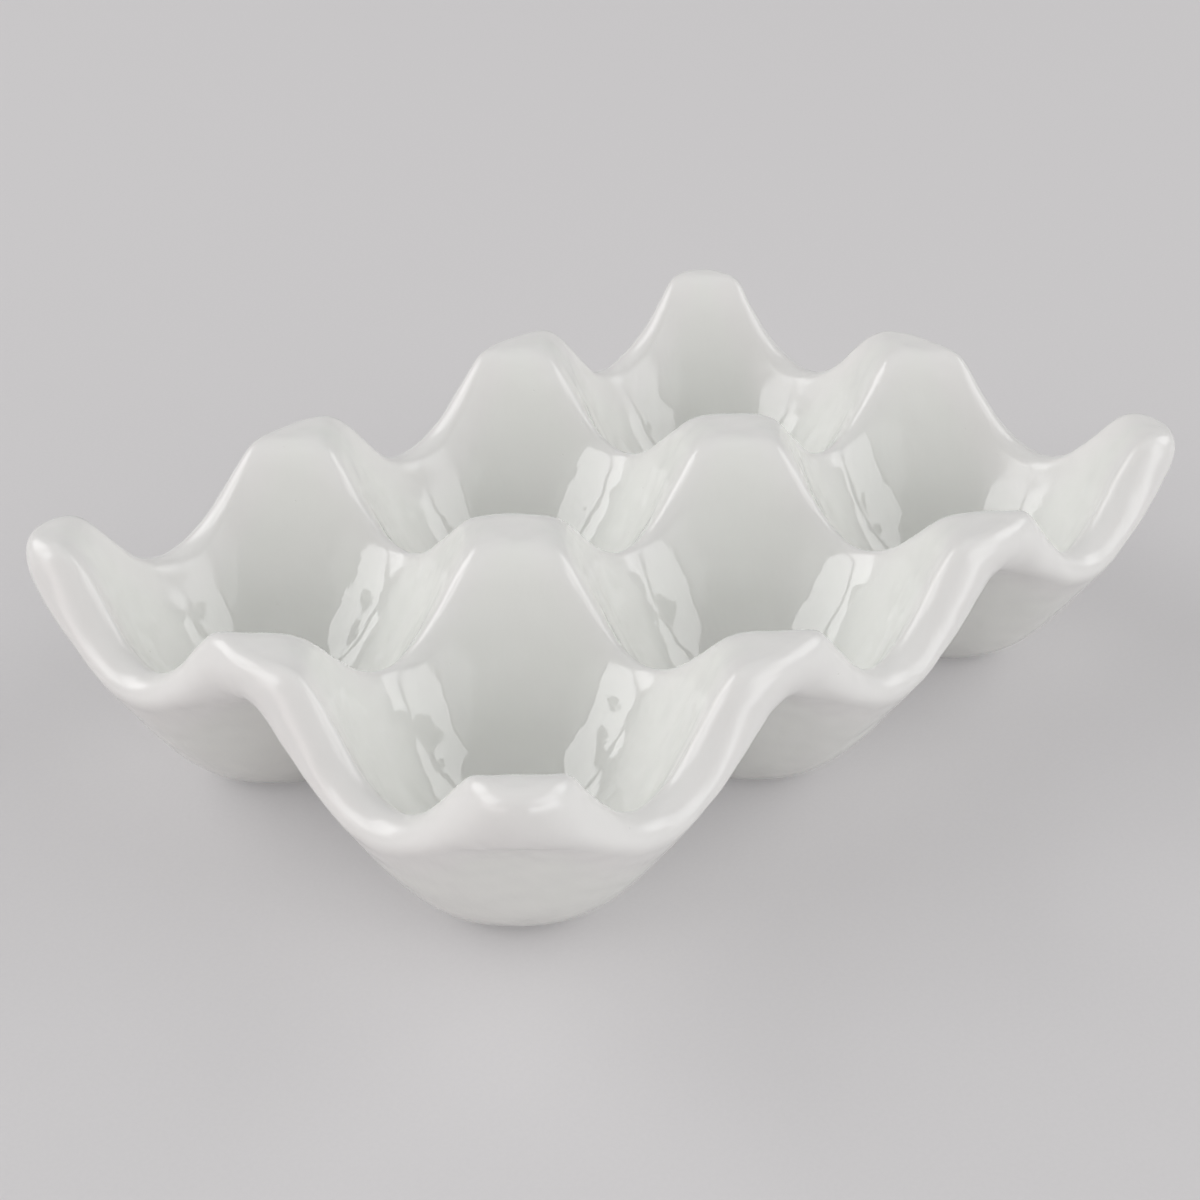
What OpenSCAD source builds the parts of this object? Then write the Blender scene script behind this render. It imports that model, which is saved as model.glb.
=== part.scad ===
// Egg tray for half a dozen eggs: one wavy shell of glazed stoneware on six bare feet.
// X runs along the three cups of a row, Y across the two rows, Z up.
// The origin is the middle of the tray, on the surface that it stands on.

/* [Tray] */
// Distance between the centres of neighbouring cups
cup_pitch = 52; // [46:1:60]
// Height of the peaks above the table
tray_height = 39.8; // [36:0.1:46]
// Thickness of the fired wall
wall = 6.9; // [4:0.1:9]

/* [Cups] */
// Steepest slope of the cup walls, in degrees from level
wall_angle = 72.9; // [66:0.1:78]
// Reach of the rounded cup bottom, measured on its inside
bowl_reach = 21.8; // [18:0.1:26]
// Fullness of the cup bottom, from a dish at 2 to a flat floor at 4
bowl_fullness = 2.89; // [2:0.01:4]
// Squareness of the cup in plan, from round at 2 to four flat faces at 5
cup_squareness = 2.4; // [2:0.01:5]

/* [Peaks and ridges] */
// Softness of the crest between two cups
ridge_softness = 2.4; // [1:0.1:5]
// Softness of the groove under that crest
groove_softness = 0.8; // [0.4:0.1:3]
// Height over which a cup's wall turns into a flat peak
shoulder_height = 13; // [6:0.1:20]
// Height over which the underside turns into the hollow below that peak
hollow_height = 30; // [20:0.1:40]

/* [Rim] */
// Distance of the rim's middle line inside the outer cell lines
rim_inset = 0.4; // [0:0.1:2]
// Plan radius of the tray's corners, on the rim's middle line
corner_radius = 5.5; // [5:0.1:16]
// Fullness of the lip, from a nearly flat cut at 0.3 to a half round at 0.67
lip_fullness = 0.6; // [0.3:0.01:0.8]

/* [Feet] */
// Radius of the bare clay foot under a cup
foot_radius = 8; // [5:0.1:11]
// Depth of the bare foot below the glaze line
foot_depth = 0.6; // [0.4:0.1:1.2]

/* [Hidden] */
// Half a dozen cups: three along, two across
column_names = ["left", "middle", "right"];
row_names = ["front", "back"];
columns = len(column_names);
rows = len(row_names);

// Steps of the surface across one cup, an even number, and steps round the lip
cup_steps = 18;
lip_steps = 6;
// Plan step over which a slope is taken
slope_step = 0.01;

// Middle line of the rim in plan
rim_length = columns * cup_pitch - 2 * rim_inset;
rim_width = rows * cup_pitch - 2 * rim_inset;

// The two faces of the shell are bowls of one form, a wall apart on the slopes and at the bottom
flare = tan(wall_angle);
reach_per_wall = (sqrt(1 + pow(flare, 2)) - 1) / flare;
middle_reach = bowl_reach + reach_per_wall * wall / 2;
outer_reach = bowl_reach + reach_per_wall * wall;

// Pull that bends the lip out of each face
bow_pull = wall * lip_fullness;

// Height that the flat foot takes off the round bottom
foot_cut = flare * (soft_sum(outer_reach, foot_radius, bowl_fullness) - outer_reach);
peak_level = tray_height + foot_cut;

// Points of the surface along and across, and round its edge
along = columns * cup_steps;
across = rows * cup_steps;
around = 2 * (along + across);

function foot_name(column, row) = str("foot_", row_names[row], "_", column_names[column]);

// Two lengths as one that is near the larger
function soft_sum(p, q, power) = pow(pow(p, power) + pow(q, power), 1 / power);

// The lower of two levels, with a smooth change where they are less than a given height apart
function soft_min(p, q, height) = min(p, q) - height / 6 * pow(max(1 - abs(p - q) / height, 0), 3);

// Centre of a cup on one axis, and the cup that a place on that axis belongs to
function cup_centre(cup, count) = (cup - (count - 1) / 2) * cup_pitch;
function cup_at(place, count) = min(max(floor(place / cup_pitch + count / 2), 0), count - 1);

// Offset of a place from its cup's centre, and whether a neighbour cup lies on that side
function offset_in_cup(place, count) = place - cup_centre(cup_at(place, count), count);
function faces_neighbour(place, count) =
    let (cup = cup_at(place, count))
    let (offset_here = offset_in_cup(place, count))
    (offset_here > 0 && cup < count - 1) || (offset_here < 0 && cup > 0);

// Distance from the cup's centre, turned over softly at a crest that two cups share
function folded(place, count, softness) =
    let (distance = abs(offset_in_cup(place, count)))
    let (half = cup_pitch / 2)
    faces_neighbour(place, count)
        ? soft_sum(half, softness, 2) - soft_sum(half - distance, softness, 2)
        : distance;

// Height of a bowl whose plan is a soft square, turned so that its faces look at the peaks
function bowl(a, b, reach) =
    let (out = soft_sum(abs(a + b) / sqrt(2), abs(a - b) / sqrt(2), cup_squareness))
    flare * (soft_sum(reach, out, bowl_fullness) - reach);

// Levels of the upper face, the underside and the middle of the wall
function upper_level(x, y) =
    let (a = folded(x, columns, ridge_softness))
    let (b = folded(y, rows, ridge_softness))
    soft_min(wall + bowl(a, b, bowl_reach), peak_level, shoulder_height) - foot_cut;
function under_level(x, y) =
    let (a = folded(x, columns, groove_softness))
    let (b = folded(y, rows, groove_softness))
    let (level = soft_min(bowl(a, b, outer_reach), peak_level - wall, hollow_height))
    max(level - foot_cut, foot_depth);
function middle_level(a, b) =
    soft_min(wall / 2 + bowl(a, b, middle_reach), peak_level - wall / 2, shoulder_height);

// Plan lean of the wall at a place, none towards a neighbour cup
function lean(x, y) =
    let (a = offset_in_cup(x, columns))
    let (b = offset_in_cup(y, rows))
    let (level = middle_level(a, b))
    let (rise_a = (middle_level(a + slope_step, b) - level) / slope_step)
    let (rise_b = (middle_level(a, b + slope_step) - level) / slope_step)
    let (length = norm([rise_a, rise_b, 1]))
    [faces_neighbour(x, columns) ? 0 : rise_a / length, faces_neighbour(y, rows) ? 0 : rise_b / length];

// Plan of the middle surface: a grid with lines on every cup centre and crest, and corners pulled in to arcs
function grid_place(k, steps, count) =
    let (place = (k / steps - 1 / 2) * count * cup_pitch)
    let (last_centre = cup_centre(count - 1, count))
    let (past_centre = max(abs(place) - last_centre, 0))
    place - sign(place) * rim_inset * past_centre / (cup_pitch / 2);
function past_arc(place, size) = max(abs(place) - (size / 2 - corner_radius), 0) / corner_radius;
function pulled(place, size, own, other) =
    sign(place) * (size / 2 - corner_radius + corner_radius * own * sqrt(1 - pow(other, 2) / 2));
function plan(i, j) =
    let (x = grid_place(i, along, columns))
    let (y = grid_place(j, across, rows))
    let (u = past_arc(x, rim_length))
    let (v = past_arc(y, rim_width))
    u > 0 && v > 0 ? [pulled(x, rim_length, u, v), pulled(y, rim_width, v, u)] : [x, y];

// Points of the two faces: the plan moves by half the wall against and with the lean
function upper_point(i, j) =
    let (place = plan(i, j))
    let (moved = place - lean(place.x, place.y) * wall / 2)
    [moved.x, moved.y, upper_level(moved.x, moved.y)];
function under_point(i, j) =
    let (place = plan(i, j))
    let (moved = place + lean(place.x, place.y) * wall / 2)
    [moved.x, moved.y, under_level(moved.x, moved.y)];

// Pulls out of the tray along the slope of each face at a point of its edge
function pull(direction, rise) =
    let (heading = [direction.x, direction.y, rise])
    heading / norm(heading) * bow_pull;
function upper_pull(point, direction) =
    let (ahead = [point.x, point.y] + direction * slope_step)
    pull(direction, (upper_level(ahead.x, ahead.y) - point.z) / slope_step);
function under_pull(point, direction) =
    let (ahead = [point.x, point.y] + direction * slope_step)
    pull(direction, (under_level(ahead.x, ahead.y) - point.z) / slope_step);

// Point at a share of the way along the bow that two points and their pulls make
function bow_point(start, start_pull, stop, stop_pull, share) =
    start * pow(1 - share, 3)
    + (start + start_pull) * 3 * share * pow(1 - share, 2)
    + (stop + stop_pull) * 3 * pow(share, 2) * (1 - share)
    + stop * pow(share, 3);

// Grid places round the edge, anticlockwise from the front left corner
function edge_place(k) =
    k < along ? [k, 0]
    : k < along + across ? [along, k - along]
    : k < 2 * along + across ? [2 * along + across - k, across]
    : [0, around - k];

// Index of a grid place, and corners of the two triangles that fill a grid square
function grid_index(i, j) = i * (across + 1) + j;
function square_faces(p, q, r, s, swap) = swap ? [[p, q, s], [q, r, s]] : [[p, q, r], [p, r, s]];

// Whether a square's diagonal runs the other way: in each quarter of a cup it lies along the peak's face
function other_diagonal(i, j) = (i % cup_steps < cup_steps / 2) == (j % cup_steps < cup_steps / 2);

// The glazed shell: six cups, twelve peaks and a round lip along the wavy rim
module tray_shell() {
    grid = [for (i = [0 : along]) for (j = [0 : across]) [i, j]];
    upper = [for (place = grid) upper_point(place.x, place.y)];
    under = [for (place = grid) under_point(place.x, place.y)];
    edge = [for (k = [0 : around - 1]) let (place = edge_place(k)) grid_index(place.x, place.y)];
    // Plan direction out of the tray at each place of the edge
    outward = [
        for (k = [0 : around - 1])
            let (run = upper[edge[(k + 1) % around]] - upper[edge[(k + around - 1) % around]])
            [run.y, -run.x] / norm([run.x, run.y])
    ];
    // The lip leaves each face along its slope and turns over in one soft bow
    lip = [
        for (step = [1 : lip_steps - 1]) for (k = [0 : around - 1])
            let (start = upper[edge[k]])
            let (start_pull = upper_pull(start, outward[k]))
            let (stop = under[edge[k]])
            let (stop_pull = under_pull(stop, outward[k]))
            bow_point(start, start_pull, stop, stop_pull, step / lip_steps)
    ];
    grid_size = len(grid);
    // Index of a point on the lip: its first row is the upper edge, its last the under edge
    function lip_index(step, k) =
        let (turn = k % around)
        step == 0 ? edge[turn]
        : step == lip_steps ? grid_size + edge[turn]
        : 2 * grid_size + (step - 1) * around + turn;
    upper_faces = [
        for (i = [0 : along - 1]) for (j = [0 : across - 1])
            each square_faces(
                grid_index(i, j), grid_index(i, j + 1), grid_index(i + 1, j + 1), grid_index(i + 1, j),
                other_diagonal(i, j)
            )
    ];
    under_faces = [for (face = upper_faces) [for (k = [2 : -1 : 0]) face[k] + grid_size]];
    lip_faces = [
        for (step = [0 : lip_steps - 1]) for (k = [0 : around - 1])
            each square_faces(
                lip_index(step, k), lip_index(step, k + 1),
                lip_index(step + 1, k + 1), lip_index(step + 1, k),
                false
            )
    ];
    color("whitesmoke")
        polyhedron(
            points = concat(upper, under, lip),
            faces = concat(upper_faces, under_faces, lip_faces)
        );
}

// A bare clay foot: the flat that is wiped free of glaze under a cup
module foot(column, row) {
    color("antiquewhite")
        translate([cup_centre(column, columns), cup_centre(row, rows), 0])
            cylinder(r = foot_radius, h = foot_depth, $fn = 48);
}

tray_shell();
for (row = [0 : rows - 1]) for (column = [0 : columns - 1]) {
    foot(column, row);
}
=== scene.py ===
"""Egg tray for half a dozen eggs: a wavy shell of white glazed stoneware on six bare clay feet.

X runs along the three cups of a row, Y across the two rows and Z up, in metres. The origin is the
middle of the tray, on the surface that it stands on.
"""

import logging
import math
from dataclasses import dataclass
from enum import Enum
from typing import Any, Dict, List, Optional, Tuple, Union

import bpy
from mathutils import Matrix, Vector


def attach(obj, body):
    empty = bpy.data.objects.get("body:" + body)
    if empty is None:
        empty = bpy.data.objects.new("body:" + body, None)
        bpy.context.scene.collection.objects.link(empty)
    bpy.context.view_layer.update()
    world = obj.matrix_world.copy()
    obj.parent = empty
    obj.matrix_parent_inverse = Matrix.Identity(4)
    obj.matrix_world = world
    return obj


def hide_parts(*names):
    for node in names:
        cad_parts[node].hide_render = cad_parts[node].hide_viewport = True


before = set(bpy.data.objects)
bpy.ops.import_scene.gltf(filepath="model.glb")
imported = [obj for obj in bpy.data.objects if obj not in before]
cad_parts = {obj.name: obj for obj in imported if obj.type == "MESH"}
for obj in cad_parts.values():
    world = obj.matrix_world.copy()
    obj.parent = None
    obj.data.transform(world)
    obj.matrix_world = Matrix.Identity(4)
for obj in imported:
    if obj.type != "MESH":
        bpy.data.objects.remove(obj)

LOG = logging.getLogger("egg_tray")
BODY = "root"
MM = 0.001
WHITE = "#FFFFFF"

# Sizes that the shell and the feet share
COLUMNS, ROWS = 3, 2
CUP_PITCH = 52 * MM
FOOT_RADIUS = 8 * MM
FOOT_DEPTH = 0.6 * MM

# Range that nearly all the values of a noise lie in
NOISE_RANGE = (0.3, 0.7)

# Attributes of the meshes: how thin the glaze is, and the place within a foot while it is shaped
THIN_GLAZE = "glaze_thin"
IN_FOOT = "in_foot"

# Inputs that give a cup's wall its form
WALL_FORM = ("Reach", "Base", "Peak", "Flare", "Fullness", "Squareness", "Shoulder")

# Type names of the nodes that are used most
MATH = "ShaderNodeMath"
VECTOR = "ShaderNodeVectorMath"
SPLIT = "ShaderNodeSeparateXYZ"
JOIN = "ShaderNodeCombineXYZ"
RANGE = "ShaderNodeMapRange"
MIX = "ShaderNodeMix"
COORDINATES = "ShaderNodeTexCoord"
NOISE = "ShaderNodeTexNoise"
VORONOI = "ShaderNodeTexVoronoi"
BUMP = "ShaderNodeBump"
PRINCIPLED = "ShaderNodeBsdfPrincipled"
SURFACE = "ShaderNodeOutputMaterial"
GROUP = "GeometryNodeGroup"
POSITION = "GeometryNodeInputPosition"
STORE = "GeometryNodeStoreNamedAttribute"
MOVE = "GeometryNodeSetPosition"
SMOOTH = "GeometryNodeSetShadeSmooth"
REALIZE = "GeometryNodeRealizeInstances"
DRESS = "GeometryNodeSetMaterial"
RESULT = "NodeGroupOutput"

Pair = Tuple[float, float]
Triple = Tuple[float, float, float]
Tree = bpy.types.NodeTree
Node = bpy.types.Node
Sockets = bpy.types.NodeOutputs
Link = Union[Node, bpy.types.NodeSocket, float, int, str, tuple, None]


class Value(Enum):
    """Kinds of value that a tree of nodes takes in or gives out."""

    NUMBER = "NodeSocketFloat"
    COUNT = "NodeSocketInt"
    PLACE = "NodeSocketVector"
    SHAPE = "NodeSocketGeometry"
    FINISH = "NodeSocketMaterial"


class Slot(Enum):
    """Finishes of the tray, by their names in the record."""

    GLAZE = "white_glaze"
    CLAY = "bare_clay"


def linear(code: str) -> Tuple[float, float, float, float]:
    """Turns an sRGB hex colour to the linear colour that shaders take.

    Args:
        code: Colour as six hex digits after a hash sign.

    Returns:
        Red, green, blue and alpha.
    """
    shares = [int(code[k : k + 2], 16) / 255 for k in (1, 3, 5)]
    red, green, blue = (
        share / 12.92 if share <= 0.04045 else ((share + 0.055) / 1.055) ** 2.4 for share in shares
    )
    return (red, green, blue, 1.0)


def add_node(tree: Tree, kind: str, *links: Link, **settings: Any) -> Node:
    """Adds a node with its settings and links.

    Args:
        tree: Tree that gets the node.
        kind: Type name of the node.
        links: What the inputs in use take, in order: a node, a socket, a plain value, or None for
            the default.
        settings: Properties of the node; one called inputs names sockets and what they take.

    Returns:
        The new node.
    """
    node = tree.nodes.new(kind)
    named: Dict[str, Link] = settings.pop("inputs", {})
    for name, setting in settings.items():
        setattr(node, name, setting)
    in_use = [socket for socket in node.inputs if socket.enabled]
    pairs = [*zip(in_use, links), *((node.inputs[name], link) for name, link in named.items())]
    for socket, link in pairs:
        if isinstance(link, Node):
            link = next(output for output in link.outputs if output.enabled)
        if isinstance(link, bpy.types.NodeSocket):
            tree.links.new(link, socket)
        elif link is not None:
            socket.default_value = link
    return node


def new_tree(name: str, takes: Dict[str, Value], gives: Dict[str, Value]) -> Tuple[Tree, Sockets]:
    """Makes an empty tree of geometry nodes with named inputs and outputs.

    Args:
        name: Name of the tree.
        takes: Inputs and their kinds.
        gives: Outputs and their kinds.

    Returns:
        The tree and the sockets that its inputs arrive at, by name.
    """
    tree = bpy.data.node_groups.new(name, "GeometryNodeTree")
    for direction, sockets in (("INPUT", takes), ("OUTPUT", gives)):
        for label, value in sockets.items():
            tree.interface.new_socket(name=label, in_out=direction, socket_type=value.value)
    return tree, tree.nodes.new("NodeGroupInput").outputs


def picked(given: Sockets, *names: str) -> Dict[str, Link]:
    """Picks sockets that go to inputs of the same names."""
    return {name: given[name] for name in names}


def grown_mesh(name: str, tree: Tree, sizes: Dict[str, Any]) -> bpy.types.Object:
    """Runs a tree of geometry nodes and keeps its result as a plain mesh.

    Args:
        name: Name of the new piece.
        tree: Tree that makes the shape.
        sizes: What each named input of the tree takes.

    Returns:
        An object at the origin that holds the mesh and has no modifier.
    """
    piece = bpy.data.objects.new(name, bpy.data.meshes.new(name + "_seed"))
    bpy.context.scene.collection.objects.link(piece)
    modifier = piece.modifiers.new("shape", "NODES")
    modifier.node_group = tree
    for item in tree.interface.items_tree:
        if item.in_out == "INPUT":
            modifier[item.identifier] = sizes[item.name]
    evaluated = piece.evaluated_get(bpy.context.evaluated_depsgraph_get())
    mesh = bpy.data.meshes.new_from_object(evaluated)
    piece.modifiers.clear()
    piece.data = mesh
    mesh.name = name
    return piece


def new_material(name: str) -> Tuple[bpy.types.Material, Tree]:
    """Makes an empty material.

    Args:
        name: Name of the material.

    Returns:
        The material and its node tree.
    """
    material = bpy.data.materials.new(name)
    material.use_nodes = True
    material.node_tree.nodes.clear()
    return material, material.node_tree


def seen_share(tree: Tree) -> Node:
    """Adds the test for rays by which the camera sees a backdrop, directly or mirrored.

    Args:
        tree: Tree of the backdrop's material or of the world.

    Returns:
        A node that gives 1 for such rays and 0 for those that light the object.
    """
    ray = add_node(tree, "ShaderNodeLightPath").outputs
    seen = add_node(tree, MATH, ray["Is Camera Ray"], ray["Is Glossy Ray"], operation="MAXIMUM")
    return add_node(tree, MATH, seen, ray["Is Transmission Ray"], operation="MAXIMUM")


@dataclass(frozen=True)
class WhiteGlaze:
    """Glossy white glaze, dipped and fired on stoneware."""

    pooled: str = "#E7E8E4"
    thin: str = "#E8E7E5"
    patchiness: float = 0.35
    roughness: float = 0.03
    roughness_swing: float = 0.3
    thin_roughness: float = 0.24
    ior: float = 1.58
    ripple_width: float = 11 * MM
    ripple_depth: float = 0.1 * MM
    streak_width: float = 1.8 * MM
    streak_length: float = 22 * MM
    streak_depth: float = 0.03 * MM
    pinhole_spacing: float = 6 * MM
    pinhole_radius: float = 0.22 * MM
    pinhole_depth: float = 0.06 * MM

    def material(self) -> bpy.types.Material:
        """Makes the glaze.

        The eye sees mirror-like lights that waver where the melt lay unevenly, a softer shine and a
        slightly warmer tone where it drew away from crests and lip, and here and there a pinhole.

        Returns:
            The finished material.
        """
        material, tree = new_material("white_glaze_on_stoneware")
        place = add_node(tree, COORDINATES).outputs["Object"]
        thin = add_node(tree, "ShaderNodeAttribute", attribute_name=THIN_GLAZE).outputs["Fac"]
        ripple = add_node(
            tree, NOISE, inputs={"Vector": place, "Scale": 1 / self.ripple_width, "Detail": 1.0}
        )
        squeeze = (1, 1, self.streak_width / self.streak_length)
        down_wall = add_node(tree, "ShaderNodeMapping", inputs={"Vector": place, "Scale": squeeze})
        streak = add_node(
            tree, NOISE, inputs={"Vector": down_wall, "Scale": 1 / self.streak_width, "Detail": 2.0}
        )
        cell = add_node(tree, VORONOI, inputs={"Vector": place, "Scale": 1 / self.pinhole_spacing})
        pinhole = add_node(
            tree, RANGE, cell, 0.0, self.pinhole_radius / self.pinhole_spacing, 1.0, 0.0,
            interpolation_type="SMOOTHSTEP",
        )
        patch = add_node(tree, RANGE, ripple, *NOISE_RANGE, 0.0, self.patchiness)
        cover = add_node(tree, MATH, thin, patch, operation="ADD", use_clamp=True)
        tones = (linear(self.pooled), linear(self.thin))
        colour = add_node(tree, MIX, cover, *tones, data_type="RGBA")
        swings = (1 - self.roughness_swing, 1 + self.roughness_swing)
        limits = [self.roughness * swing for swing in swings]
        gloss = add_node(tree, RANGE, streak, *NOISE_RANGE, *limits)
        gloss = add_node(tree, MIX, thin, gloss, self.thin_roughness, data_type="FLOAT")
        relief: Optional[Node] = None
        for height, depth, sunk in (
            (ripple, self.ripple_depth, False),
            (streak, self.streak_depth, False),
            (pinhole, self.pinhole_depth, True),
        ):
            relief = add_node(
                tree, BUMP, invert=sunk,
                inputs={"Strength": 1.0, "Distance": depth, "Height": height, "Normal": relief},
            )
        glaze = add_node(
            tree, PRINCIPLED,
            inputs={"Base Color": colour, "Roughness": gloss, "IOR": self.ior, "Normal": relief},
        )
        add_node(tree, SURFACE, glaze)
        return material


@dataclass(frozen=True)
class BareClay:
    """Fired stoneware body where the glaze was wiped away."""

    body: str = "#D8CCB8"
    grit: str = "#A8906F"
    roughness: float = 0.88
    ior: float = 1.5
    grain_width: float = 0.5 * MM
    grain_depth: float = 0.08 * MM
    grain_strength: float = 0.7
    grain_range: Pair = (0.35, 0.75)
    grain_share: float = 0.3
    speck_spacing: float = 1.6 * MM
    speck_range: Pair = (0.10, 0.22)
    speck_share: float = 0.8

    def material(self) -> bpy.types.Material:
        """Makes the clay.

        The eye sees a dry, cream-coloured face with sandy grain and a few darker specks of grit.

        Returns:
            The finished material.
        """
        material, tree = new_material("bare_stoneware_wiped")
        place = add_node(tree, COORDINATES).outputs["Object"]
        grain = add_node(
            tree, NOISE, inputs={"Vector": place, "Scale": 1 / self.grain_width, "Detail": 3.0}
        )
        speck = add_node(tree, VORONOI, inputs={"Vector": place, "Scale": 1 / self.speck_spacing})
        dark = add_node(tree, RANGE, speck, *self.speck_range, self.speck_share, 0.0)
        tone = add_node(tree, RANGE, grain, *self.grain_range, 0.0, self.grain_share)
        share = add_node(tree, MATH, dark, tone, operation="MAXIMUM")
        tones = (linear(self.body), linear(self.grit))
        colour = add_node(tree, MIX, share, *tones, data_type="RGBA")
        relief = {"Strength": self.grain_strength, "Distance": self.grain_depth, "Height": grain}
        sand = add_node(tree, BUMP, inputs=relief)
        look = {"Base Color": colour, "Roughness": self.roughness, "IOR": self.ior, "Normal": sand}
        add_node(tree, SURFACE, add_node(tree, PRINCIPLED, inputs=look))
        return material


@dataclass(frozen=True)
class StudioPaper:
    """Matt pale grey paper under the tray."""

    tone: str = "#DAD8D9"
    fibre: str = "#DCDADB"
    roughness: float = 0.95
    ior: float = 1.3
    fibre_width: float = 0.7 * MM
    fibre_depth: float = 0.01 * MM
    fibre_strength: float = 0.3
    fibre_range: Pair = (0.35, 0.65)
    even_tone: str = "#C9C7C8"
    even_share: float = 0.4

    def material(self) -> bpy.types.Material:
        """Makes the paper.

        The eye sees an even pale tone with no shine and the faint mottle of pressed fibres. A share
        of the tone is the same all over as the camera sees it, so that the tray's shadow stays as
        faint as on the real paper.

        Returns:
            The finished material.
        """
        material, tree = new_material("matt_studio_paper")
        place = add_node(tree, COORDINATES).outputs["Object"]
        fibres = add_node(
            tree, NOISE, inputs={"Vector": place, "Scale": 1 / self.fibre_width, "Detail": 2.0}
        )
        share = add_node(tree, RANGE, fibres, *self.fibre_range, 0.0, 1.0)
        tones = (linear(self.tone), linear(self.fibre))
        colour = add_node(tree, MIX, share, *tones, data_type="RGBA")
        relief = {"Strength": self.fibre_strength, "Distance": self.fibre_depth, "Height": fibres}
        felt = add_node(tree, BUMP, inputs=relief)
        look = {"Base Color": colour, "Roughness": self.roughness, "IOR": self.ior, "Normal": felt}
        paper = add_node(tree, PRINCIPLED, inputs=look)
        even = add_node(tree, "ShaderNodeEmission", linear(self.even_tone), 1.0)
        even_part = add_node(tree, MATH, seen_share(tree), self.even_share, operation="MULTIPLY")
        mixed = add_node(tree, "ShaderNodeMixShader", even_part, paper, even)
        add_node(tree, SURFACE, mixed)
        return material


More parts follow.
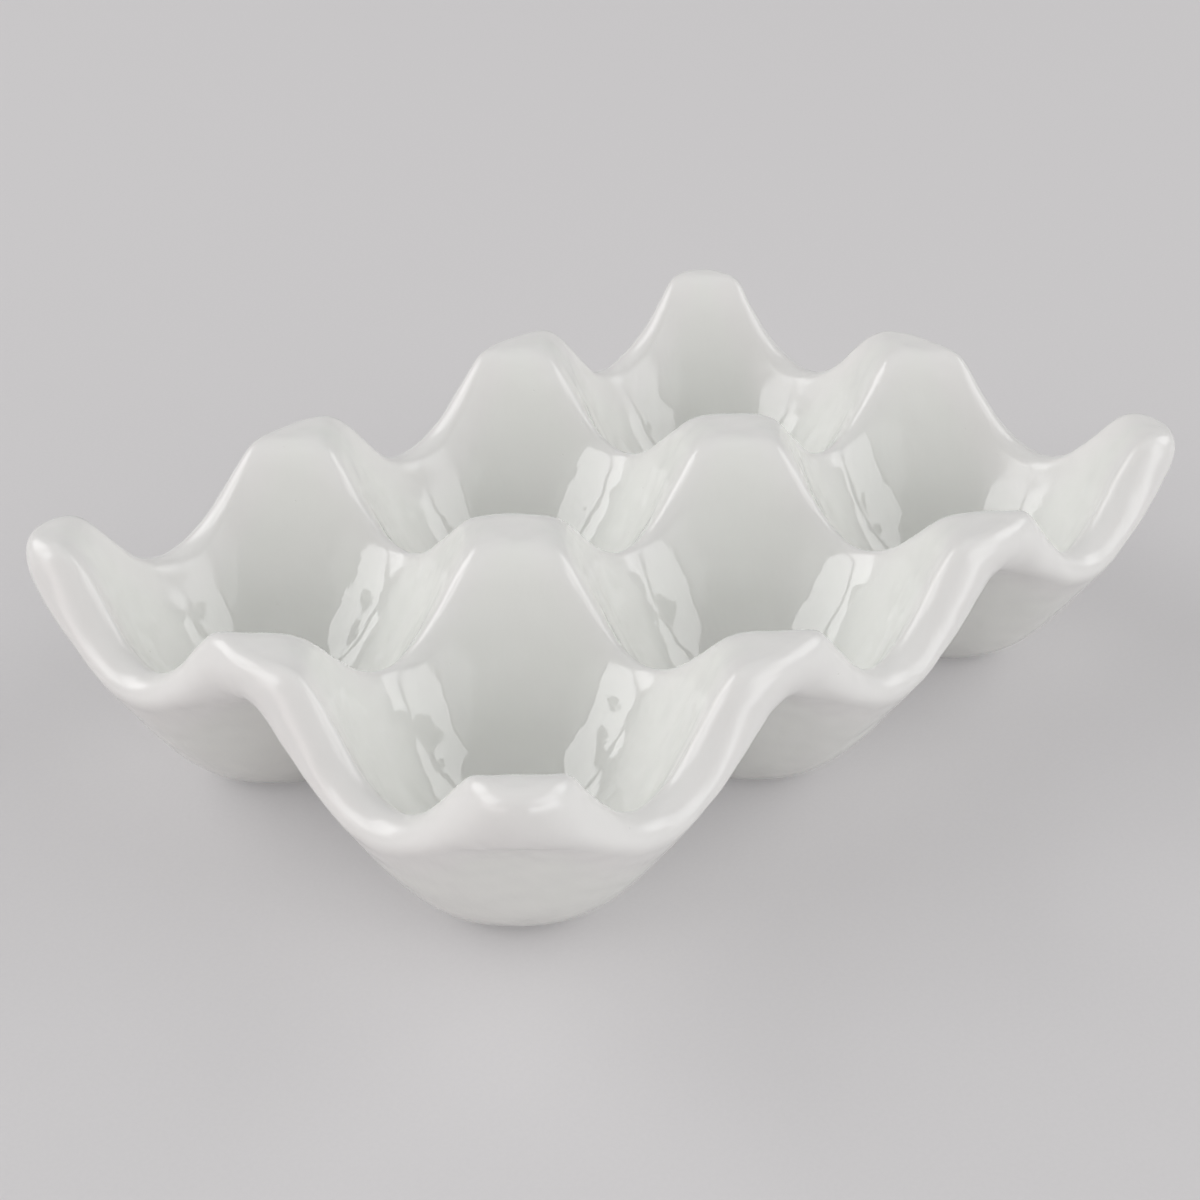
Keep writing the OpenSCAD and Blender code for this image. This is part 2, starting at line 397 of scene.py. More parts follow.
@dataclass
class TrayShell:
    """The glazed shell: six cups, twelve flat-topped peaks and a round lip along the wavy rim.

    The sizes are those of the solid. The steps and the crowding set the grid, and the thin band and
    the thinnesses say where the glaze drew away. The waves of its melt set in over the calm height
    above the feet.
    """

    columns: int = COLUMNS
    rows: int = ROWS
    cup_pitch: float = CUP_PITCH
    tray_height: float = 39.8 * MM
    wall: float = 6.9 * MM
    wall_angle: float = math.radians(72.9)
    bowl_reach: float = 21.8 * MM
    bowl_fullness: float = 2.89
    cup_squareness: float = 2.4
    ridge_softness: float = 2.4 * MM
    groove_softness: float = 0.8 * MM
    shoulder_height: float = 13 * MM
    hollow_height: float = 30 * MM
    rim_inset: float = 0.4 * MM
    corner_radius: float = 5.5 * MM
    lip_fullness: float = 0.6
    foot_radius: float = FOOT_RADIUS
    foot_depth: float = FOOT_DEPTH
    cup_steps: int = 80
    crowding: float = 0.55
    lip_steps: int = 16
    slope_step: float = 0.05 * MM
    thin_band: float = 5 * MM
    crest_thinness: float = 0.7
    rim_thinness: float = 1.0
    wave_width: float = 6 * MM
    wave_depth: float = 0.2 * MM
    calm_height: float = 4 * MM

    @property
    def flare(self) -> float:
        """Rise of a cup's wall over its run."""
        return math.tan(self.wall_angle)

    @property
    def reach_per_wall(self) -> float:
        """Reach that the underside's bowl gains for each unit of wall thickness."""
        return (math.sqrt(1 + self.flare**2) - 1) / self.flare

    @property
    def outer_reach(self) -> float:
        """Reach of the rounded cup bottom on the underside."""
        return self.bowl_reach + self.reach_per_wall * self.wall

    @property
    def foot_cut(self) -> float:
        """Height that the flat foot takes off the round bottom."""
        power = self.bowl_fullness
        rim = (self.outer_reach**power + self.foot_radius**power) ** (1 / power)
        return self.flare * (rim - self.outer_reach)

    @property
    def peak_level(self) -> float:
        """Height of the peaks above the round bottom's lowest point."""
        return self.tray_height + self.foot_cut

    @staticmethod
    def profile_tree() -> Tree:
        """Makes the tree for the height of a cup's wall at an offset from the cup's centre.

        The plan is a soft square whose faces look at the peaks, where the wall levels out softly.

        Returns:
            The tree.
        """
        takes = {"Offset": Value.PLACE, **dict.fromkeys(WALL_FORM, Value.NUMBER)}
        tree, given = new_tree("cup_wall_profile", takes, {"Level": Value.NUMBER})
        slant = math.sqrt(0.5)
        sides: List[Node] = []
        for direction in ((slant, slant, 0.0), (slant, -slant, 0.0)):
            side = add_node(tree, VECTOR, given["Offset"], direction, operation="DOT_PRODUCT")
            side = add_node(tree, MATH, side, operation="ABSOLUTE")
            sides.append(add_node(tree, MATH, side, given["Squareness"], operation="POWER"))
        out = add_node(tree, MATH, *sides, operation="ADD")
        softer = add_node(tree, MATH, given["Fullness"], given["Squareness"], operation="DIVIDE")
        out = add_node(tree, MATH, out, softer, operation="POWER")
        reach = add_node(tree, MATH, given["Reach"], given["Fullness"], operation="POWER")
        far = add_node(tree, MATH, out, reach, operation="ADD")
        root = add_node(tree, MATH, 1.0, given["Fullness"], operation="DIVIDE")
        far = add_node(tree, MATH, far, root, operation="POWER")
        far = add_node(tree, MATH, far, given["Reach"], operation="SUBTRACT")
        level = add_node(tree, MATH, far, given["Flare"], given["Base"], operation="MULTIPLY_ADD")
        top = (given["Peak"], given["Shoulder"])
        level = add_node(tree, MATH, level, *top, operation="SMOOTH_MIN")
        add_node(tree, RESULT, level)
        return tree

    @staticmethod
    def fold_tree() -> Tree:
        """Makes the tree for the offset from the nearest cup's centre.

        The offset turns over softly at the crests that two cups share.

        Returns:
            The tree.
        """
        takes = dict.fromkeys(("Place", "Last Cup"), Value.PLACE)
        takes.update(dict.fromkeys(("Pitch", "Softness"), Value.NUMBER))
        gives = dict.fromkeys(("Offset", "Past Last Cup", "From Crest"), Value.PLACE)
        tree, given = new_tree("fold_at_crests", takes, gives)
        half = add_node(tree, MATH, given["Pitch"], 0.5, operation="MULTIPLY")
        size = add_node(tree, VECTOR, given["Place"], operation="ABSOLUTE")
        beyond = add_node(tree, VECTOR, size, given["Last Cup"], operation="SUBTRACT")
        past = add_node(tree, VECTOR, beyond, (0, 0, 0), operation="MAXIMUM")
        inside = add_node(tree, VECTOR, past, beyond, operation="SUBTRACT")
        crest = add_node(tree, VECTOR, inside, given["Pitch"], operation="MODULO")
        crest = add_node(tree, VECTOR, crest, half, operation="SUBTRACT")
        crest = add_node(tree, VECTOR, crest, operation="ABSOLUTE")
        square = add_node(tree, MATH, given["Softness"], given["Softness"], operation="MULTIPLY")
        turned = add_node(tree, VECTOR, crest, crest, square, operation="MULTIPLY_ADD")
        turned = add_node(tree, VECTOR, turned, (0.5, 0.5, 0.5), operation="POWER")
        whole = add_node(tree, MATH, half, half, square, operation="MULTIPLY_ADD")
        whole = add_node(tree, MATH, whole, operation="SQRT")
        folded = add_node(tree, VECTOR, whole, turned, operation="SUBTRACT")
        offset = add_node(tree, VECTOR, folded, past, operation="ADD")
        add_node(tree, RESULT, offset, past, crest)
        return tree

    @staticmethod
    def face_tree(profile: Tree, fold: Tree) -> Tree:
        """Makes the tree for a point on one face of the wall above or below a place in plan.

        Args:
            profile: Tree for the height of a cup's wall.
            fold: Tree for the offset from the nearest cup's centre.

        Returns:
            The tree.
        """
        numbers = ("Pitch", "Softness", "Foot Cut", "Foot Depth", *WALL_FORM)
        takes = dict.fromkeys(("Place", "Last Cup"), Value.PLACE)
        takes.update(dict.fromkeys(numbers, Value.NUMBER))
        gives = dict.fromkeys(("Point", "From Crest"), Value.PLACE)
        tree, given = new_tree("wall_face", takes, gives)
        cells = picked(given, "Place", "Last Cup", "Pitch", "Softness")
        folded = add_node(tree, GROUP, node_tree=fold, inputs=cells)
        bowl = {"Offset": folded, **picked(given, *WALL_FORM)}
        level = add_node(tree, GROUP, node_tree=profile, inputs=bowl)
        level = add_node(tree, MATH, level, given["Foot Cut"], operation="SUBTRACT")
        level = add_node(tree, MATH, level, given["Foot Depth"], operation="MAXIMUM")
        up = add_node(tree, JOIN, 0.0, 0.0, level)
        point = add_node(tree, VECTOR, given["Place"], up, operation="ADD")
        add_node(tree, RESULT, point, folded.outputs["From Crest"])
        return tree

    @staticmethod
    def wall_plan(tree: Tree, given: Sockets, at: Node, fold: Tree) -> Tuple[Node, Node, Node]:
        """Adds the plan of the wall's middle.

        Args:
            tree: Tree of the shell.
            given: Sockets that the tree's inputs arrive at.
            at: Place on the block.
            fold: Tree for the offset from the nearest cup's centre.

        Returns:
            The place in plan, the sides of the middle lines that it is on, and the way out of the
            tray there.
        """
        # Grid lines crowd towards the crests and the rim, where the faces turn most
        flat = add_node(tree, VECTOR, at, given["Size"], operation="MULTIPLY")
        side = add_node(tree, VECTOR, flat, operation="SIGN")
        size = add_node(tree, VECTOR, flat, operation="ABSOLUTE")
        swing = add_node(tree, VECTOR, size, given["Last Cup"], operation="SUBTRACT")
        per_pitch = add_node(tree, MATH, 2 * math.pi, given["Pitch"], operation="DIVIDE")
        swing = add_node(tree, VECTOR, swing, per_pitch, operation="SCALE")
        swing = add_node(tree, VECTOR, swing, operation="SINE")
        crowding = add_node(tree, MATH, given["Crowding"], per_pitch, operation="DIVIDE")
        size = add_node(tree, VECTOR, swing, crowding, size, operation="MULTIPLY_ADD")
        flat = add_node(tree, VECTOR, size, side, operation="MULTIPLY")

        # The outer half cups give up the rim's inset, and the corners become arcs
        cells = {"Place": flat, "Softness": 0.0, **picked(given, "Last Cup", "Pitch")}
        folded = add_node(tree, GROUP, node_tree=fold, inputs=cells)
        half_pitch = add_node(tree, MATH, given["Pitch"], 0.5, operation="MULTIPLY")
        draw = add_node(tree, MATH, given["Rim Inset"], half_pitch, operation="DIVIDE")
        drawn = add_node(tree, VECTOR, folded.outputs["Past Last Cup"], draw, operation="SCALE")
        size = add_node(tree, VECTOR, size, drawn, operation="SUBTRACT")
        straight = add_node(tree, VECTOR, size, given["Arc Start"], operation="MINIMUM")
        arc = add_node(tree, VECTOR, size, straight, operation="SUBTRACT")
        arc = add_node(tree, VECTOR, arc, given["Corner Radius"], operation="DIVIDE")
        parts = add_node(tree, SPLIT, arc).outputs
        other = add_node(tree, JOIN, parts["Y"], parts["X"], 0.0)
        pull = add_node(tree, VECTOR, other, other, operation="MULTIPLY")
        pull = add_node(tree, VECTOR, pull, (-0.5, -0.5, 0), (1, 1, 1), operation="MULTIPLY_ADD")
        pull = add_node(tree, VECTOR, pull, (0.5, 0.5, 0.5), operation="POWER")
        bent = add_node(tree, VECTOR, arc, pull, operation="MULTIPLY")
        radius = given["Corner Radius"]
        plan = add_node(tree, VECTOR, bent, radius, straight, operation="MULTIPLY_ADD")
        plan = add_node(tree, VECTOR, plan, side, operation="MULTIPLY")
        outward = add_node(tree, VECTOR, bent, side, operation="MULTIPLY")
        return plan, side, outward

    @staticmethod
    def wall_lean(tree: Tree, given: Sockets, near: Node, side: Node, profile: Tree) -> Node:
        """Adds the lean of the wall: its slope away from the outer cups' centres.

        Args:
            tree: Tree of the shell.
            given: Sockets that the tree's inputs arrive at.
            near: Offset from the nearest cup's centre.
            side: Sides of the middle lines that the place is on.
            profile: Tree for the height of a cup's wall.

        Returns:
            Plan distance from the wall's middle to each of its faces.
        """
        half_wall = add_node(tree, MATH, given["Wall"], 0.5, operation="MULTIPLY")
        peak = add_node(tree, MATH, given["Peak"], half_wall, operation="SUBTRACT")
        middle = {"Reach": given["Middle Reach"], "Base": half_wall, "Peak": peak}
        middle.update(picked(given, "Flare", "Fullness", "Squareness", "Shoulder"))
        step, offset = given["Slope Step"], near.outputs["Offset"]
        levels: List[Node] = []
        for move in ((0, 0, 0), (1, 0, 0), (0, 1, 0)):
            moved = add_node(tree, VECTOR, step, move, offset, operation="MULTIPLY_ADD")
            bowl = {"Offset": moved, **middle}
            levels.append(add_node(tree, GROUP, node_tree=profile, inputs=bowl))
        here, *ahead = levels
        rises = [add_node(tree, MATH, level, here, operation="SUBTRACT") for level in ahead]
        slope = add_node(tree, JOIN, *rises, step)
        slope = add_node(tree, VECTOR, slope, operation="NORMALIZE")
        outer = add_node(tree, VECTOR, near.outputs["Past Last Cup"], operation="SIGN")
        outer = add_node(tree, VECTOR, outer, side, operation="MULTIPLY")
        lean = add_node(tree, VECTOR, slope, outer, operation="MULTIPLY")
        return add_node(tree, VECTOR, lean, half_wall, operation="SCALE")

    @staticmethod
    def thin_glaze(tree: Tree, given: Sockets, from_crest: Link, past_cup: Link) -> Node:
        """Adds how thin the glaze drew along the crests and by the lip.

        Args:
            tree: Tree of the shell.
            given: Sockets that the tree's inputs arrive at.
            from_crest: Distance from the crests on each axis.
            past_cup: Distance beyond the outermost cups' centres on each axis.

        Returns:
            The thinness, from 0 where the glaze pooled to 1.
        """
        parts = add_node(tree, SPLIT, from_crest).outputs
        crest = add_node(tree, MATH, parts["X"], parts["Y"], operation="MINIMUM")
        parts = add_node(tree, SPLIT, past_cup).outputs
        rim = add_node(tree, MATH, parts["X"], parts["Y"], operation="MAXIMUM")
        half_pitch = add_node(tree, MATH, given["Pitch"], 0.5, operation="MULTIPLY")
        rim = add_node(tree, MATH, half_pitch, rim, operation="SUBTRACT")
        rim = add_node(tree, MATH, rim, given["Rim Inset"], operation="SUBTRACT")
        bands = [
            add_node(
                tree, RANGE, distance, 0.0, given["Thin Band"], given[most], 0.0,
                interpolation_type="SMOOTHSTEP",
            )
            for distance, most in ((crest, "Crest Thinness"), (rim, "Rim Thinness"))
        ]
        return add_node(tree, MATH, *bands, operation="MAXIMUM")

    @staticmethod
    def melt_waves(tree: Tree, given: Sockets, at: Node) -> Node:
        """Adds shallow waves where the melt lay unevenly, all into the wall and none at the feet.

        Args:
            tree: Tree of the shell.
            given: Sockets that the tree's inputs arrive at.
            at: Place on the bent shell.

        Returns:
            The move of the surface.
        """
        per_metre = add_node(tree, MATH, 1.0, given["Wave Width"], operation="DIVIDE")
        melt = add_node(tree, NOISE, inputs={"Vector": at, "Scale": per_metre, "Detail": 1.0})
        wave = add_node(tree, RANGE, melt, *NOISE_RANGE, -1.0, 0.0)
        wave = add_node(tree, MATH, wave, given["Wave Depth"], operation="MULTIPLY")
        height = add_node(tree, SPLIT, at).outputs["Z"]
        height = add_node(tree, MATH, height, given["Foot Depth"], operation="SUBTRACT")
        share = add_node(
            tree, RANGE, height, 0.0, given["Calm Height"], 0.0, 1.0,
            interpolation_type="SMOOTHSTEP",
        )
        wave = add_node(tree, MATH, wave, share, operation="MULTIPLY")
        normal = add_node(tree, "GeometryNodeInputNormal")
        return add_node(tree, VECTOR, normal, wave, operation="SCALE")

    def shape_tree(self) -> Tree:
        """Makes the tree for the whole shell.

        A block of grid squares is bent to the tray: its top becomes the upper face, its bottom the
        underside and its sides the round lip.

        Returns:
            The tree.
        """
        numbers = (
            "Pitch", "Wall", "Peak", "Flare", "Fullness", "Squareness", "Shoulder", "Hollow",
            "Ridge", "Groove", "Bowl Reach", "Middle Reach", "Outer Reach", "Rim Inset",
            "Corner Radius", "Bow Pull", "Foot Cut", "Foot Depth", "Slope Step", "Crowding",
            "Thin Band", "Crest Thinness", "Rim Thinness", "Wave Width", "Wave Depth",
            "Calm Height",
        )
        counts = ("Points X", "Points Y", "Points Z")
        takes = dict.fromkeys(counts, Value.COUNT)
        takes.update(dict.fromkeys(("Size", "Last Cup", "Arc Start"), Value.PLACE))
        takes.update(dict.fromkeys(numbers, Value.NUMBER))
        takes["Glaze"] = Value.FINISH
        tree, given = new_tree("egg_tray_shell", takes, {"Shell": Value.SHAPE})
        profile, fold = self.profile_tree(), self.fold_tree()
        face = self.face_tree(profile, fold)
        points = (given[count] for count in counts)
        block = add_node(tree, "GeometryNodeMeshCube", (1, 1, 1), *points)
        at = add_node(tree, POSITION)
        plan, side, outward = self.wall_plan(tree, given, at, fold)
        cells = {"Place": plan, "Softness": 0.0, **picked(given, "Last Cup", "Pitch")}
        near = add_node(tree, GROUP, node_tree=fold, inputs=cells)
        lean = self.wall_lean(tree, given, near, side, profile)

        # The two faces, each a bowl of the same form, and the pull of the lip on each
        under_peak = add_node(tree, MATH, given["Peak"], given["Wall"], operation="SUBTRACT")
        upper = {
            "Softness": given["Ridge"], "Reach": given["Bowl Reach"], "Base": given["Wall"],
            "Peak": given["Peak"], "Shoulder": given["Shoulder"],
        }
        under = {
            "Softness": given["Groove"], "Reach": given["Outer Reach"], "Base": 0.0,
            "Peak": under_peak, "Shoulder": given["Hollow"],
        }
        shared = picked(
            given, "Last Cup", "Pitch", "Flare", "Fullness", "Squareness", "Foot Cut", "Foot Depth"
        )
        step = add_node(tree, VECTOR, outward, given["Slope Step"], operation="SCALE")
        faces: List[Node] = []
        pulls: List[Node] = []
        for way, bowl in (("SUBTRACT", upper), ("ADD", under)):
            place = add_node(tree, VECTOR, plan, lean, operation=way)
            further = add_node(tree, VECTOR, place, step, operation="ADD")
            here, ahead = (
                add_node(tree, GROUP, node_tree=face, inputs={"Place": spot, **bowl, **shared})
                for spot in (place, further)
            )
            heading = add_node(tree, VECTOR, ahead, here, operation="SUBTRACT")
            heading = add_node(tree, VECTOR, heading, operation="NORMALIZE")
            heading = add_node(tree, VECTOR, heading, given["Bow Pull"], operation="SCALE")
            faces.append(here)
            pulls.append(add_node(tree, VECTOR, here, heading, operation="ADD"))

        # The lip: it leaves each face along its slope and turns over in one soft bow
        height = add_node(tree, SPLIT, at).outputs["Z"]
        down = add_node(tree, MATH, 0.5, height, operation="SUBTRACT")
        bow = [faces[0], *pulls, faces[1]]
        while len(bow) > 1:
            pairs = list(zip(bow, bow[1:]))
            bow = [add_node(tree, MIX, down, *pair, data_type="VECTOR") for pair in pairs]

        # The glaze's thinness goes by the place on the block, so it is stored before the bending
        thin = self.thin_glaze(
            tree, given, faces[0].outputs["From Crest"], near.outputs["Past Last Cup"]
        )
        shell = add_node(
            tree, STORE, data_type="FLOAT", domain="POINT",
            inputs={"Geometry": block, "Name": THIN_GLAZE, "Value": thin},
        )
        shell = add_node(tree, MOVE, inputs={"Geometry": shell, "Position": bow[0]})
        waves = self.melt_waves(tree, given, at)
        shell = add_node(tree, MOVE, inputs={"Geometry": shell, "Offset": waves})
        shell = add_node(tree, SMOOTH, shell)
        shell = add_node(tree, REALIZE, shell)
        shell = add_node(tree, DRESS, inputs={"Geometry": shell, "Material": given["Glaze"]})
        add_node(tree, RESULT, shell)
        return tree

    def build(self, glaze: bpy.types.Material) -> bpy.types.Object:
        """Makes the shell and puts it in place of its solid.

        Args:
            glaze: Finish of the shell.

        Returns:
            The piece.
        """
        length, width = self.columns * self.cup_pitch, self.rows * self.cup_pitch
        edge = self.rim_inset + self.corner_radius
        sizes = {
            "Points X": self.columns * self.cup_steps + 1,
            "Points Y": self.rows * self.cup_steps + 1,
            "Points Z": self.lip_steps + 1,
            "Size": (length, width, 0.0),
            "Last Cup": ((length - self.cup_pitch) / 2, (width - self.cup_pitch) / 2, 0.0),
            "Arc Start": (length / 2 - edge, width / 2 - edge, 0.0),
            "Pitch": self.cup_pitch,
            "Wall": self.wall,
            "Peak": self.peak_level,
            "Flare": self.flare,
            "Fullness": self.bowl_fullness,
            "Squareness": self.cup_squareness,
            "Shoulder": self.shoulder_height,
            "Hollow": self.hollow_height,
            "Ridge": self.ridge_softness,
            "Groove": self.groove_softness,
            "Bowl Reach": self.bowl_reach,
            "Middle Reach": (self.bowl_reach + self.outer_reach) / 2,
            "Outer Reach": self.outer_reach,
            "Rim Inset": self.rim_inset,
            "Corner Radius": self.corner_radius,
            "Bow Pull": self.wall * self.lip_fullness,
            "Foot Cut": self.foot_cut,
            "Foot Depth": self.foot_depth,
            "Slope Step": self.slope_step,
            "Crowding": self.crowding,
            "Thin Band": self.thin_band,
            "Crest Thinness": self.crest_thinness,
            "Rim Thinness": self.rim_thinness,
            "Wave Width": self.wave_width,
            "Wave Depth": self.wave_depth,
            "Calm Height": self.calm_height,
            "Glaze": glaze,
        }
        piece = grown_mesh("glazed_shell", self.shape_tree(), sizes)
        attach(piece, BODY)
        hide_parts("tray_shell")
        return piece


@dataclass
class BareFeet:
    """The six flats under the cups that were wiped free of glaze."""

    columns: int = COLUMNS
    rows: int = ROWS
    cup_pitch: float = CUP_PITCH
    radius: float = FOOT_RADIUS
    depth: float = FOOT_DEPTH
    edge_round: float = 0.35 * MM
    waver: float = 0.5 * MM
    waver_width: float = 6 * MM
    steps_round: int = 96
    steps_in: int = 12

    def shape_tree(self) -> Tree:
        """Makes the tree for the feet.

        On each cup's centre it puts a wiped flat with a rounded, slightly uneven edge.

        Returns:
            The tree.
        """
        numbers = ("Length", "Width", "Radius", "Depth", "Edge Round", "Waver", "Waver Width")
        takes = dict.fromkeys(("Columns", "Rows", "Steps Round", "Steps In"), Value.COUNT)
        takes.update(dict.fromkeys(numbers, Value.NUMBER))
        takes["Clay"] = Value.FINISH
        tree, given = new_tree("bare_feet", takes, {"Feet": Value.SHAPE})
        spread = (given[name] for name in ("Length", "Width", "Columns", "Rows"))
        cups = add_node(tree, "GeometryNodeMeshGrid", *spread)
        disc = add_node(
            tree, "GeometryNodeMeshCylinder",
            given["Steps Round"], 1, given["Steps In"], 1.0, 1.0, fill_type="TRIANGLE_FAN",
        )
        at = add_node(tree, POSITION)
        disc = add_node(
            tree, STORE, data_type="FLOAT_VECTOR", domain="POINT",
            inputs={"Geometry": disc, "Name": IN_FOOT, "Value": at},
        )
        feet = add_node(
            tree, "GeometryNodeInstanceOnPoints", inputs={"Points": cups, "Instance": disc}
        )
        feet = add_node(tree, REALIZE, feet)

        # Place in the foot: direction from the centre, share of the radius and share of the depth
        local = add_node(
            tree, "GeometryNodeInputNamedAttribute", IN_FOOT, data_type="FLOAT_VECTOR"
        ).outputs["Attribute"]
        centre = add_node(tree, VECTOR, at, local, operation="SUBTRACT")
        level = add_node(tree, VECTOR, local, (1, 1, 0), operation="MULTIPLY")
        direction = add_node(tree, VECTOR, level, operation="NORMALIZE")
        reach = add_node(tree, VECTOR, level, operation="LENGTH")
        inward = add_node(tree, MATH, 1.0, reach, operation="SUBTRACT")
        inward = add_node(tree, MATH, inward, inward, operation="MULTIPLY")
        share = add_node(tree, SPLIT, local).outputs["Z"]
        share = add_node(tree, MATH, share, 0.5, operation="ADD")

        # The wiped edge wavers a little, and the lower edge is rounded
        rim = add_node(tree, VECTOR, direction, given["Radius"], centre, operation="MULTIPLY_ADD")
        per_metre = add_node(tree, MATH, 1.0, given["Waver Width"], operation="DIVIDE")
        uneven = add_node(tree, NOISE, inputs={"Vector": rim, "Scale": per_metre, "Detail": 1.0})
        lost = add_node(tree, MATH, uneven, given["Waver"], operation="MULTIPLY")
        radius = add_node(tree, MATH, given["Radius"], lost, operation="SUBTRACT")
        from_edge = add_node(tree, MATH, inward, radius, operation="MULTIPLY")
        over = add_node(tree, MATH, from_edge, given["Edge Round"], operation="DIVIDE")
        over = add_node(tree, MATH, 1.0, over, operation="SUBTRACT")
        over = add_node(tree, MATH, over, 0.0, operation="MAXIMUM")
        turned = add_node(tree, MATH, over, over, operation="MULTIPLY")
        turned = add_node(tree, MATH, 1.0, turned, operation="SUBTRACT")
        turned = add_node(tree, MATH, turned, operation="SQRT")
        lift = add_node(tree, MATH, 1.0, turned, operation="SUBTRACT")
        lift = add_node(tree, MATH, lift, given["Edge Round"], operation="MULTIPLY")
        height = add_node(tree, MIX, share, lift, given["Depth"], data_type="FLOAT")
        out = add_node(tree, MATH, radius, from_edge, operation="SUBTRACT")
        up = add_node(tree, JOIN, 0.0, 0.0, height)
        middle = add_node(tree, VECTOR, centre, (1, 1, 0), up, operation="MULTIPLY_ADD")
        place = add_node(tree, VECTOR, direction, out, middle, operation="MULTIPLY_ADD")

        feet = add_node(tree, MOVE, inputs={"Geometry": feet, "Position": place})
        feet = add_node(
            tree, "GeometryNodeRemoveAttribute", inputs={"Geometry": feet, "Name": IN_FOOT}
        )
        feet = add_node(tree, SMOOTH, feet)
        feet = add_node(tree, DRESS, inputs={"Geometry": feet, "Material": given["Clay"]})
        add_node(tree, RESULT, feet)
        return tree

    def build(self, clay: bpy.types.Material) -> bpy.types.Object:
        """Makes the feet and puts them in place of their solids.

        Args:
            clay: Finish of the feet.

        Returns:
            The piece.
        """
        sizes = {
            "Columns": self.columns,
            "Rows": self.rows,
            "Length": (self.columns - 1) * self.cup_pitch,
            "Width": (self.rows - 1) * self.cup_pitch,
            "Radius": self.radius,
            "Depth": self.depth,
            "Edge Round": self.edge_round,
            "Waver": self.waver,
            "Waver Width": self.waver_width,
            "Steps Round": self.steps_round,
            "Steps In": self.steps_in,
            "Clay": clay,
        }
        piece = grown_mesh("bare_feet", self.shape_tree(), sizes)
        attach(piece, BODY)
        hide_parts(*(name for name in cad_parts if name.startswith("foot_")))
        return piece


@dataclass(frozen=True)
class Softbox:
    """A rectangular lamp that faces a place on or beside the tray."""

    name: str
    place: Triple
    aim: Triple
    width: float
    height: float
    power: float
    tint: str = WHITE

    def build(self) -> bpy.types.Object:
        """Makes the lamp.

        Returns:
            The lamp's object.
        """
        data = bpy.data.lights.new(self.name, "AREA")
        data.shape = "RECTANGLE"
        data.size, data.size_y = self.width, self.height
        data.energy = self.power
        data.color = linear(self.tint)[:3]
        lamp = bpy.data.objects.new(self.name, data)
        lamp.location = self.place
        view = Vector(self.aim) - Vector(self.place)
        lamp.rotation_euler = view.to_track_quat("-Z", "Y").to_euler()
        bpy.context.scene.collection.objects.link(lamp)
        return lamp


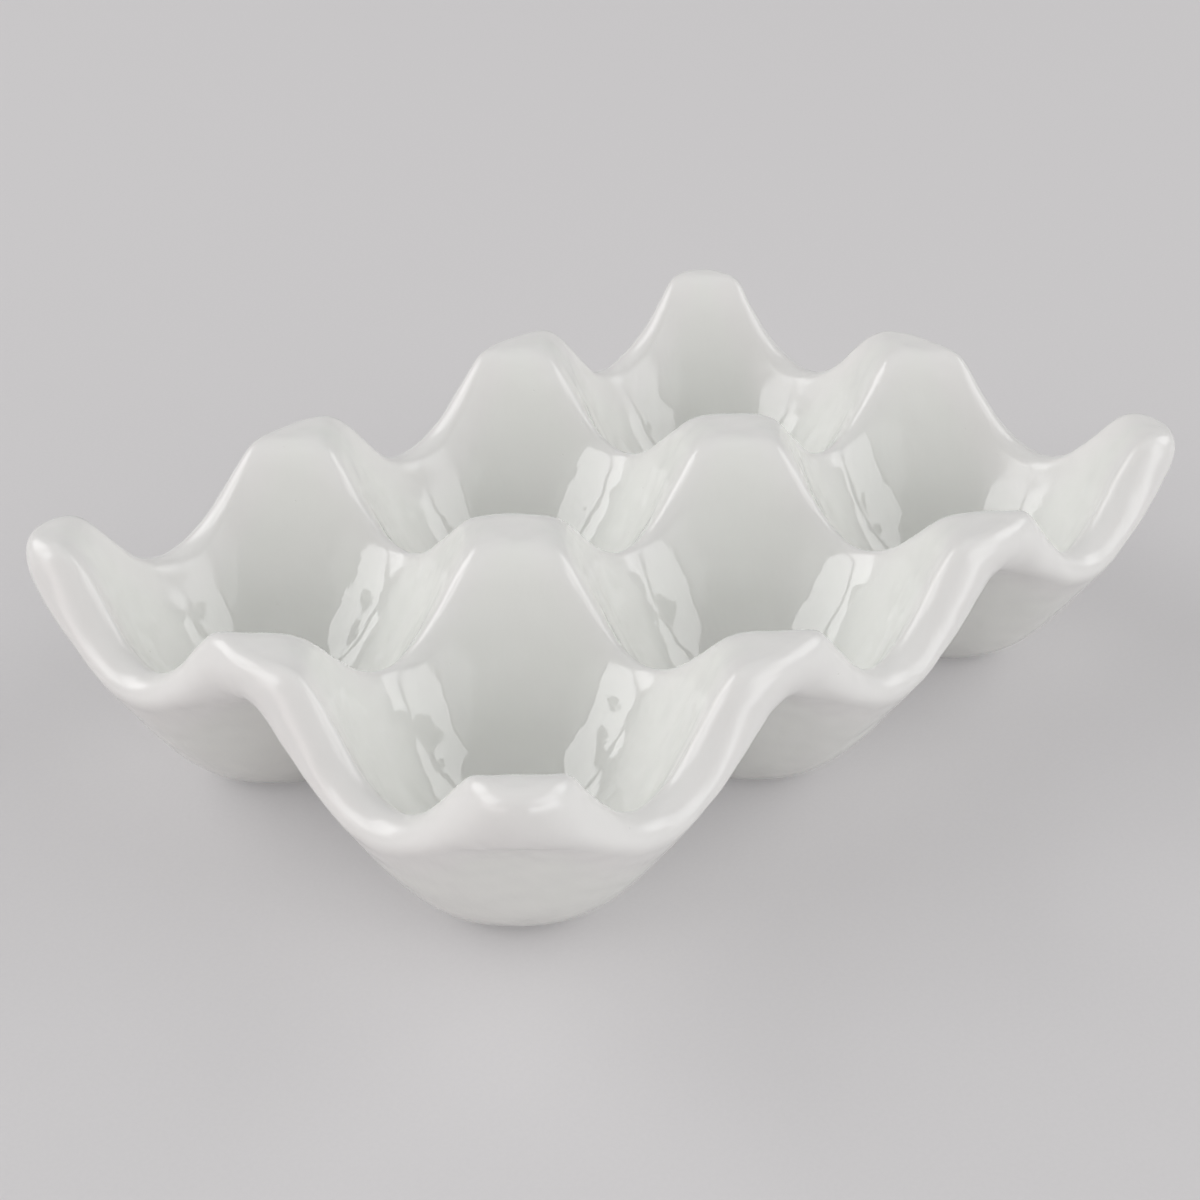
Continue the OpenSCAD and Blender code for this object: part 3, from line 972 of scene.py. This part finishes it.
@dataclass
class Studio:
    """The floor, the lamps, the light all round and the camera."""

    floor_radius: float = 2.0
    floor_steps: int = 96
    camera_place: Triple = (-0.25139, -0.22195, 0.20274)
    azimuth: float = math.radians(-47.791)
    elevation: float = math.radians(28.991)
    roll: float = math.radians(1.109)
    lens: float = 70.73
    sensor_width: float = 36.0
    clip_range: Pair = (0.01, 50.0)
    background: str = "#C2C0C1"
    ambient: float = 0.13
    softboxes: Tuple[Softbox, ...] = (
        Softbox("left_far_softbox", (-0.64, 2.11, 1.36), (0.70, 0.63, 0.02), 1.68, 1.50, 22.8),
        Softbox("left_softbox", (-2.04, 0.85, 1.36), (-0.70, -0.63, 0.02), 1.68, 1.50, 22.8),
        Softbox("left_near_softbox", (-3.44, -0.41, 1.36), (-2.09, -1.89, 0.02), 1.68, 1.50, 2.4),
        Softbox("right_far_softbox", (2.04, -0.85, 1.36), (0.70, 0.63, 0.02), 1.68, 1.50, 17.2),
        Softbox("right_softbox", (0.64, -2.11, 1.36), (-0.70, -0.63, 0.02), 1.68, 1.50, 17.2),
        Softbox("right_near_softbox", (-0.75, -3.37, 1.36), (-2.09, -1.89, 0.02), 1.68, 1.50, 4.6),
        Softbox("front_softbox", (-2.38, -2.14, 2.60), (0.00, 0.00, 0.02), 5.00, 2.40, 2.2),
        Softbox("right_low_softbox", (0.14, -2.16, 0.30), (0.04, -0.10, 0.02), 2.40, 0.56, 11.2),
        Softbox(
            "left_low_softbox", (-2.30, 0.12, 0.30), (-0.10, 0.04, 0.02), 2.40, 0.56, 7.2, "#FFF4F3"
        ),
        Softbox("top_softbox", (0.00, 0.00, 3.20), (0.00, 0.00, 0.02), 6.00, 6.00, 17.6),
    )

    def floor(self, paper: bpy.types.Material) -> bpy.types.Object:
        """Makes the round floor that the tray stands on.

        Args:
            paper: Finish of the floor.

        Returns:
            The floor.
        """
        mesh = bpy.data.meshes.new("floor")
        radius, steps = self.floor_radius, self.floor_steps
        turns = [2 * math.pi * step / steps for step in range(steps)]
        edge = [(radius * math.cos(turn), radius * math.sin(turn), 0) for turn in turns]
        mesh.from_pydata(edge, [], [range(steps)])
        mesh.materials.append(paper)
        piece = bpy.data.objects.new("floor", mesh)
        bpy.context.scene.collection.objects.link(piece)
        return piece

    def light(self) -> None:
        """Makes the lamps and the even light all round, which shows itself as the pale backdrop."""
        for softbox in self.softboxes:
            softbox.build()
        world = bpy.data.worlds.new("studio")
        bpy.context.scene.world = world
        world.use_nodes = True
        tree = world.node_tree
        tree.nodes.clear()
        even = add_node(tree, "ShaderNodeBackground", linear(WHITE), self.ambient)
        backdrop = add_node(tree, "ShaderNodeBackground", linear(self.background), 1.0)
        mixed = add_node(tree, "ShaderNodeMixShader", seen_share(tree), even, backdrop)
        add_node(tree, "ShaderNodeOutputWorld", mixed)

    def camera(self) -> bpy.types.Object:
        """Makes the camera at the angle of the photograph.

        Returns:
            The camera's object.
        """
        sin_a, cos_a = math.sin(self.azimuth), math.cos(self.azimuth)
        sin_e, cos_e = math.sin(self.elevation), math.cos(self.elevation)
        right = Vector((cos_a, sin_a, 0))
        back = Vector((sin_a * cos_e, -cos_a * cos_e, sin_e))
        turn = Matrix((right, back.cross(right), back)).transposed().to_4x4()
        roll = Matrix.Rotation(self.roll, 4, "Z")
        data = bpy.data.cameras.new("camera")
        data.lens = self.lens
        data.sensor_width = self.sensor_width
        data.clip_start, data.clip_end = self.clip_range
        camera = bpy.data.objects.new("camera", data)
        camera.matrix_world = Matrix.Translation(self.camera_place) @ turn @ roll
        bpy.context.scene.collection.objects.link(camera)
        bpy.context.scene.camera = camera
        return camera

    def build(self, paper: bpy.types.Material) -> None:
        """Sets up the whole studio.

        Args:
            paper: Finish of the floor.
        """
        bpy.context.scene.view_settings.view_transform = "Standard"
        self.floor(paper)
        self.light()
        self.camera()


def report(piece: bpy.types.Object) -> None:
    """Writes a piece's name and count of faces to the log."""
    LOG.info("%s: %d faces", piece.name, len(piece.data.polygons))


def main() -> None:
    """Builds the tray and the studio in order and notes each piece's count of faces."""
    logging.basicConfig(level=logging.INFO, format="%(name)s: %(message)s")
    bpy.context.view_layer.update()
    Studio().build(StudioPaper().material())
    report(TrayShell().build(WhiteGlaze().material()))
    report(BareFeet().build(BareClay().material()))


if __name__ == "__main__":
    main()
